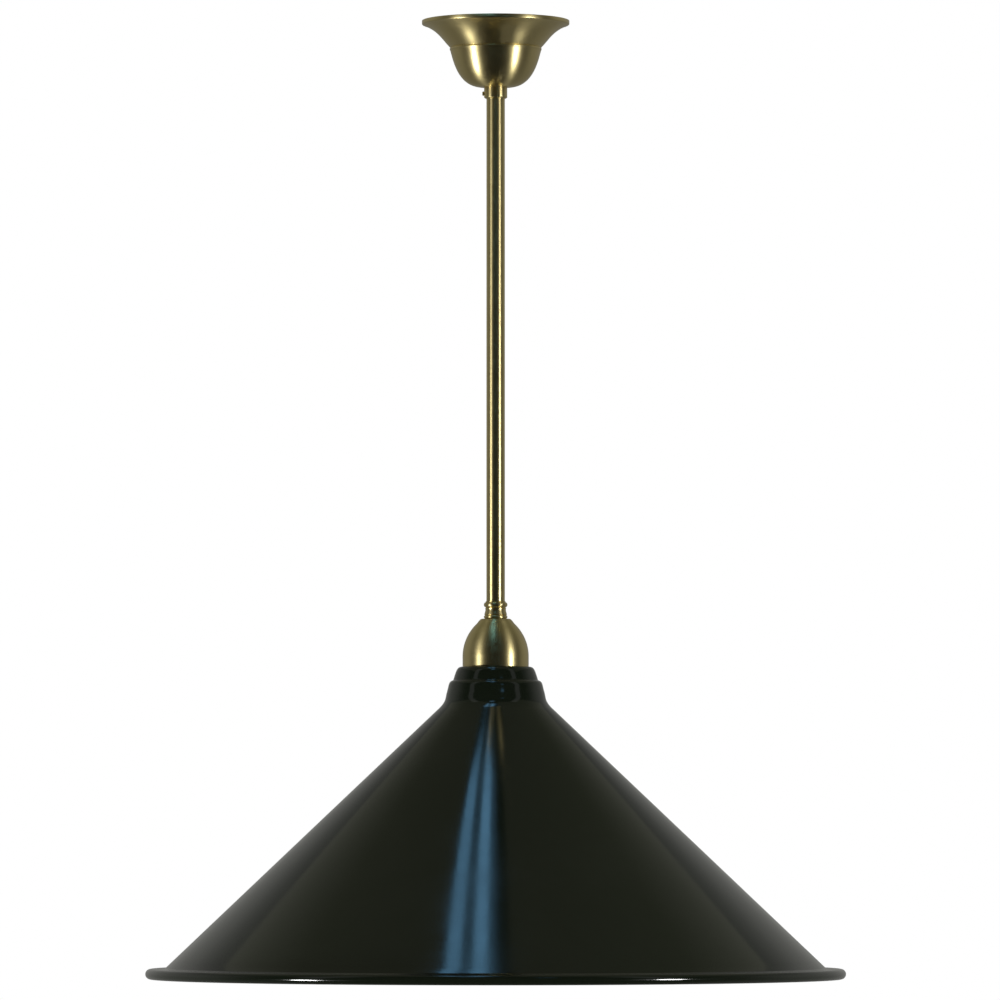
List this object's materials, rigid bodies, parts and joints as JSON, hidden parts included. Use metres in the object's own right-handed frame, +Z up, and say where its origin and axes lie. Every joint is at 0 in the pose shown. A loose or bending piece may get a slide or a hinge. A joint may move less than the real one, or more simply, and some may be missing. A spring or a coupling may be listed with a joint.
{
  "type": "pool table lamp",
  "caption": "Ceiling pendant lamp for a pool table: black cone shade with a rolled rim on a polished brass rod, with a sliding ceiling rose and a swivel that lets it hang straight.",
  "frame": {"origin": "on the ceiling face, on the rod's axis", "axes": "+Z up, away from the shade; X along the ceiling bar; the front faces -Y"},
  "size_m": [0.4819, 0.482, 0.662],
  "materials": {
    "polished_brass": "polished, lacquered",
    "plain_brass": "machined",
    "zinc_steel": "zinc plated",
    "bright_steel": "bright, turned",
    "dark_steel": "blackened",
    "black_gloss": "gloss paint outside, white paint inside",
    "phenolic": "moulded phenolic",
    "porcelain": "glazed",
    "connector_plastic": "moulded",
    "wire_brown": "extruded sleeve",
    "wire_blue": "extruded sleeve",
    "wire_green_yellow": "green with a yellow stripe",
    "bulb_opal": "opal diffuser",
    "bulb_white": "moulded",
    "bulb_nickel": "nickel plated",
    "bulb_black_glass": "vitrite",
    "board_white": "white solder resist"
  },
  "bodies": {
    "ceiling_mount": {"mounting_bar": "zinc_steel", "top_clevis": "zinc_steel", "clevis_screw": "zinc_steel", "clevis_nut": "zinc_steel", "upper_pin": "bright_steel"},
    "swivel": {"swivel_block": "plain_brass"},
    "pendant": {"lower_pin": "bright_steel", "rod_fork": "plain_brass", "fork_set_screw": "dark_steel", "earth_screw": "plain_brass", "earth_tag": "zinc_steel", "connector_block": "connector_plastic", "connector_sleeves": "plain_brass", "connector_screws": "plain_brass", "wire_live": "wire_brown", "wire_neutral": "wire_blue", "wire_earth": "wire_green_yellow", "rod": "polished_brass", "rod_coupling": "polished_brass", "holder_cup": "polished_brass", "hollow_nipple": "plain_brass", "cup_washer": "zinc_steel", "cup_nut": "plain_brass", "holder_cap": "phenolic", "cap_set_screw": "bright_steel", "holder_insert": "porcelain", "insert_terminals": "plain_brass", "terminal_screws": "plain_brass", "centre_contact": "plain_brass", "screw_shell": "plain_brass", "holder_skirt": "phenolic"},
    "rose": {"ceiling_rose": "polished_brass"},
    "collar": {"rose_collar": "polished_brass"},
    "collar_screw": {"collar_screw": "polished_brass"},
    "shade": {"shade": "black_gloss"},
    "shade_ring": {"shade_ring": "phenolic"},
    "bulb": {"bulb_globe": "bulb_opal", "bulb_housing": "bulb_white", "bulb_led_board": "board_white", "bulb_cap": "bulb_nickel", "bulb_insulator": "bulb_black_glass", "bulb_tip": "bulb_nickel"}
  },
  "joints": [
    {"name": "swing_side", "type": "hinge", "parent": "ceiling_mount", "child": "swivel", "pos_m": [0, 0, -0.013], "axis": [0, 1, 0], "range_deg": [-10, 10]},
    {"name": "swing_fore", "type": "hinge", "parent": "swivel", "child": "pendant", "pos_m": [0, 0, -0.023], "axis": [1, 0, 0], "range_deg": [-10, 10]},
    {"name": "rose_slide", "type": "slide", "parent": "pendant", "child": "rose", "axis": [0, 0, -1], "range_m": [0, 0.34]},
    {"name": "collar_slide", "type": "slide", "parent": "pendant", "child": "collar", "axis": [0, 0, -1], "range_m": [0, 0.34]},
    {"name": "collar_screw_turn", "type": "hinge", "parent": "collar", "child": "collar_screw", "pos_m": [-0.007, 0, -0.0508], "axis": [-1, 0, 0], "range_deg": [0, 720]},
    {"name": "shade_lower", "type": "slide", "parent": "pendant", "child": "shade", "axis": [0, 0, -1], "range_m": [0, 0.01]},
    {"name": "ring_turn", "type": "hinge", "parent": "shade", "child": "shade_ring", "pos_m": [0, 0, -0.4521], "axis": [0, 0, -1], "range_deg": [0, 1440]},
    {"name": "bulb_out", "type": "slide", "parent": "pendant", "child": "bulb", "axis": [0, 0, -1], "range_m": [0, 0.215]}
  ],
  "couplings": [
    {"joint": "collar_slide", "follows": "rose_slide", "ratio": 1},
    {"joint": "ring_turn", "follows": "shade_lower", "rad_per_m": 2513.3}
  ]
}
